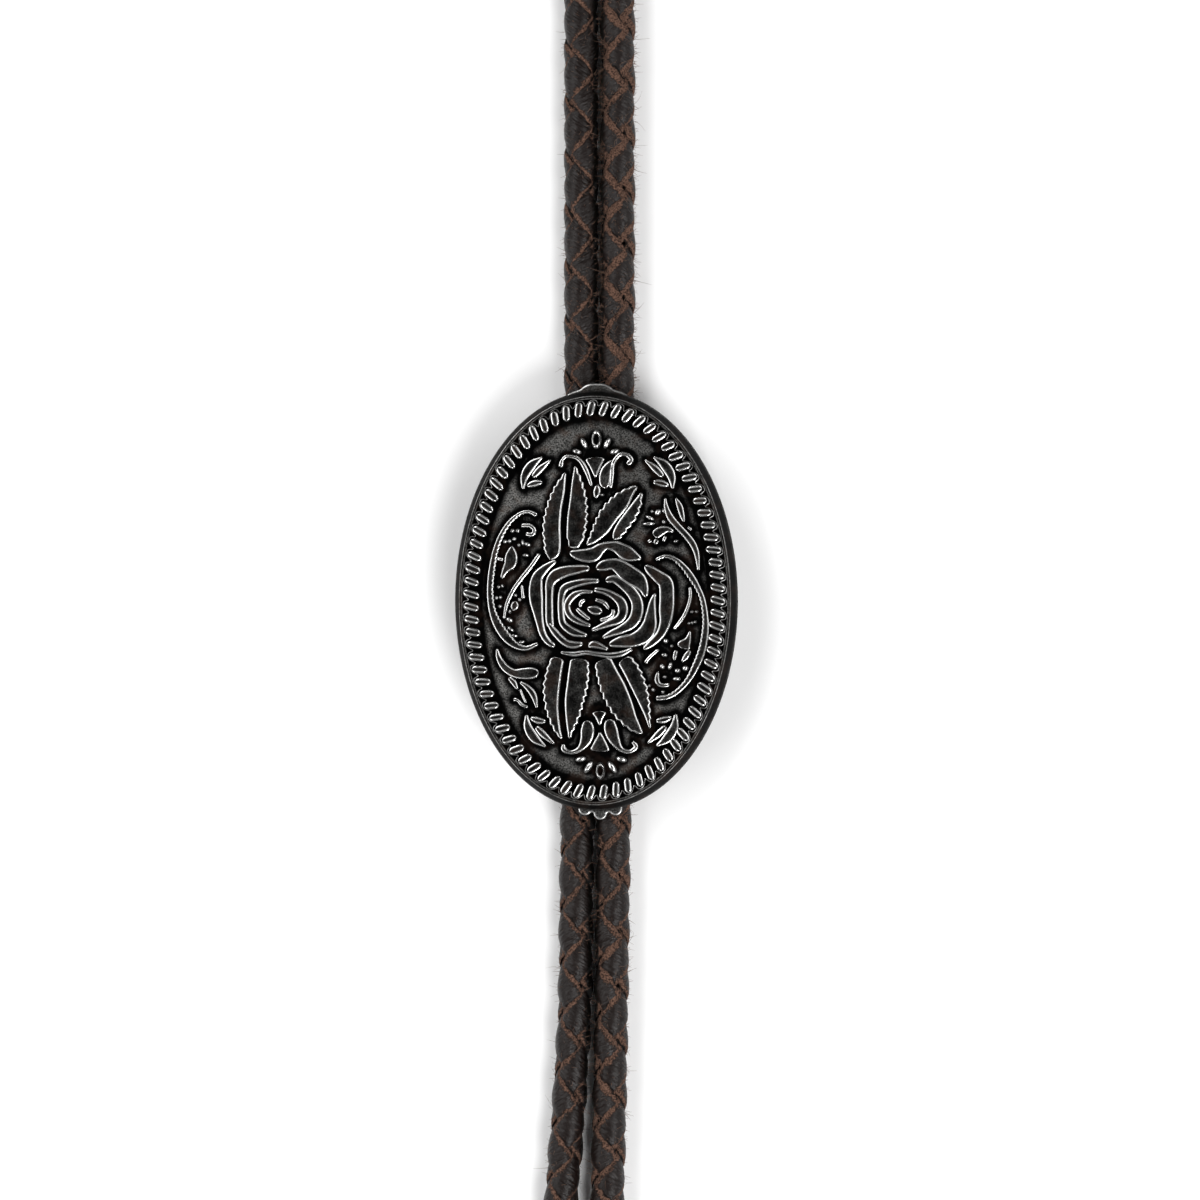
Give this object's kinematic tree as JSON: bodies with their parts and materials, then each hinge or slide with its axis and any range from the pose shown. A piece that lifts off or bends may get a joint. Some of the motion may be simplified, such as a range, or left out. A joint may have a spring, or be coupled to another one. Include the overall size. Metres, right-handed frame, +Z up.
{
  "type": "bolo tie",
  "caption": "Bolo tie laid flat: a braided leather cord with metal tips loops through a cast oval slide with a raised rose, leaves and rope border, held by a back clip.",
  "frame": {"origin": "on the surface that the tie lies on, under the middle of the oval slide", "axes": "+X across the slide, +Y along the cords towards the neck loop, +Z up out of the slide's face"},
  "size_m": [0.0392, 0.4877, 0.0103],
  "materials": {
    "antique_silver": "cast, blackened in the recesses and polished on the raised edges",
    "plated_steel": "plated, softly polished",
    "brown_leather": "dark brown braided leather with raw lace edges"
  },
  "bodies": {
    "cord": {"cord_loop": "brown_leather", "cord_end_left": "brown_leather", "cord_end_right": "brown_leather", "tip_left": "plated_steel", "tip_right": "plated_steel"},
    "slide": {"concho": "antique_silver", "slide_clip": "plated_steel"}
  },
  "joints": [
    {"name": "slide_along_cords", "type": "slide", "parent": "cord", "child": "slide", "axis": [0, 1, 0], "range_m": [0, 0.2]}
  ]
}
